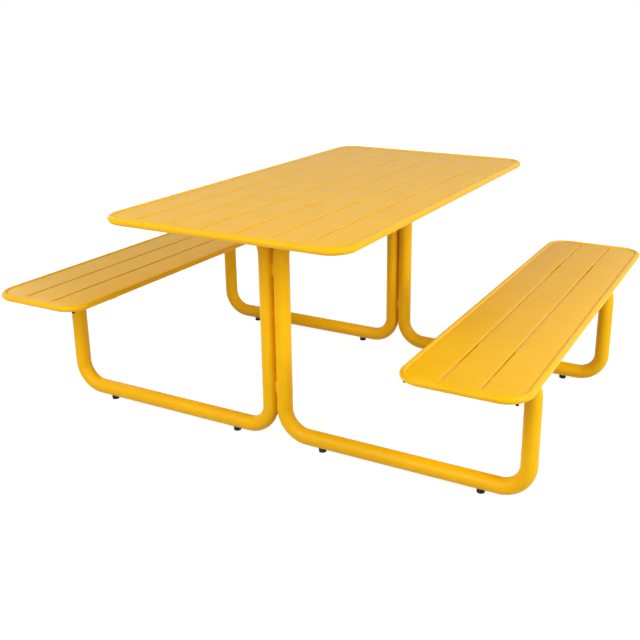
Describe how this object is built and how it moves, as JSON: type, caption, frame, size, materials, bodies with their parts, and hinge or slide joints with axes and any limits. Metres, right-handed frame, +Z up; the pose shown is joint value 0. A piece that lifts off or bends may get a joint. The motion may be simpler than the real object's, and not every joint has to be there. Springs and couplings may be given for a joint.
{
  "type": "picnic table",
  "caption": "Steel picnic table whose slotted top and attached bench seats, each in a round tube rim, are carried by bent tube legs on screw-in levelling feet.",
  "frame": {"origin": "on the floor, under the middle of the table top", "axes": "+X along the table top, from the front end to the back end; +Y across, to the left seat; +Z up"},
  "size_m": [1.5, 1.754, 0.753],
  "materials": {
    "powder_coat": "satin yellow powder coat on steel",
    "black_nylon": "moulded black nylon",
    "black_rubber": "moulded black rubber",
    "zinc_plate": "bright zinc plate on steel"
  },
  "bodies": {
    "frame": {"table_rim": "powder_coat", "table_panel": "powder_coat", "table_rail_front": "powder_coat", "table_rail_back": "powder_coat", "left_seat_rim": "powder_coat", "left_seat_panel": "powder_coat", "left_seat_rail_front": "powder_coat", "left_seat_rail_back": "powder_coat", "right_seat_rim": "powder_coat", "right_seat_panel": "powder_coat", "right_seat_rail_front": "powder_coat", "right_seat_rail_back": "powder_coat", "leg_left_front": "powder_coat", "leg_left_back": "powder_coat", "leg_right_front": "powder_coat", "leg_right_back": "powder_coat", "leg_links_front": "powder_coat", "leg_links_back": "powder_coat", "table_arm_caps": "powder_coat", "seat_arm_caps": "powder_coat", "table_saddles": "black_nylon", "seat_saddles": "black_nylon", "left_seat_bumpers": "black_rubber", "right_seat_bumpers": "black_rubber", "table_washers": "zinc_plate", "table_bolts": "zinc_plate", "table_weld_nuts": "zinc_plate", "seat_washers": "zinc_plate", "seat_bolts": "zinc_plate", "seat_weld_nuts": "zinc_plate", "foot_inserts": "zinc_plate"},
    "left_front_inner_foot": {"foot_left_front_inner": "black_nylon", "stud_left_front_inner": "zinc_plate"},
    "left_front_outer_foot": {"foot_left_front_outer": "black_nylon", "stud_left_front_outer": "zinc_plate"},
    "left_back_inner_foot": {"foot_left_back_inner": "black_nylon", "stud_left_back_inner": "zinc_plate"},
    "left_back_outer_foot": {"foot_left_back_outer": "black_nylon", "stud_left_back_outer": "zinc_plate"},
    "right_front_inner_foot": {"foot_right_front_inner": "black_nylon", "stud_right_front_inner": "zinc_plate"},
    "right_front_outer_foot": {"foot_right_front_outer": "black_nylon", "stud_right_front_outer": "zinc_plate"},
    "right_back_inner_foot": {"foot_right_back_inner": "black_nylon", "stud_right_back_inner": "zinc_plate"},
    "right_back_outer_foot": {"foot_right_back_outer": "black_nylon", "stud_right_back_outer": "zinc_plate"}
  },
  "joints": [
    {"name": "left_front_inner_foot_screw", "type": "slide", "parent": "frame", "child": "left_front_inner_foot", "axis": [0, 0, -1], "range_m": [0, 0.01]},
    {"name": "left_front_outer_foot_screw", "type": "slide", "parent": "frame", "child": "left_front_outer_foot", "axis": [0, 0, -1], "range_m": [0, 0.01]},
    {"name": "left_back_inner_foot_screw", "type": "slide", "parent": "frame", "child": "left_back_inner_foot", "axis": [0, 0, -1], "range_m": [0, 0.01]},
    {"name": "left_back_outer_foot_screw", "type": "slide", "parent": "frame", "child": "left_back_outer_foot", "axis": [0, 0, -1], "range_m": [0, 0.01]},
    {"name": "right_front_inner_foot_screw", "type": "slide", "parent": "frame", "child": "right_front_inner_foot", "axis": [0, 0, -1], "range_m": [0, 0.01]},
    {"name": "right_front_outer_foot_screw", "type": "slide", "parent": "frame", "child": "right_front_outer_foot", "axis": [0, 0, -1], "range_m": [0, 0.01]},
    {"name": "right_back_inner_foot_screw", "type": "slide", "parent": "frame", "child": "right_back_inner_foot", "axis": [0, 0, -1], "range_m": [0, 0.01]},
    {"name": "right_back_outer_foot_screw", "type": "slide", "parent": "frame", "child": "right_back_outer_foot", "axis": [0, 0, -1], "range_m": [0, 0.01]}
  ]
}
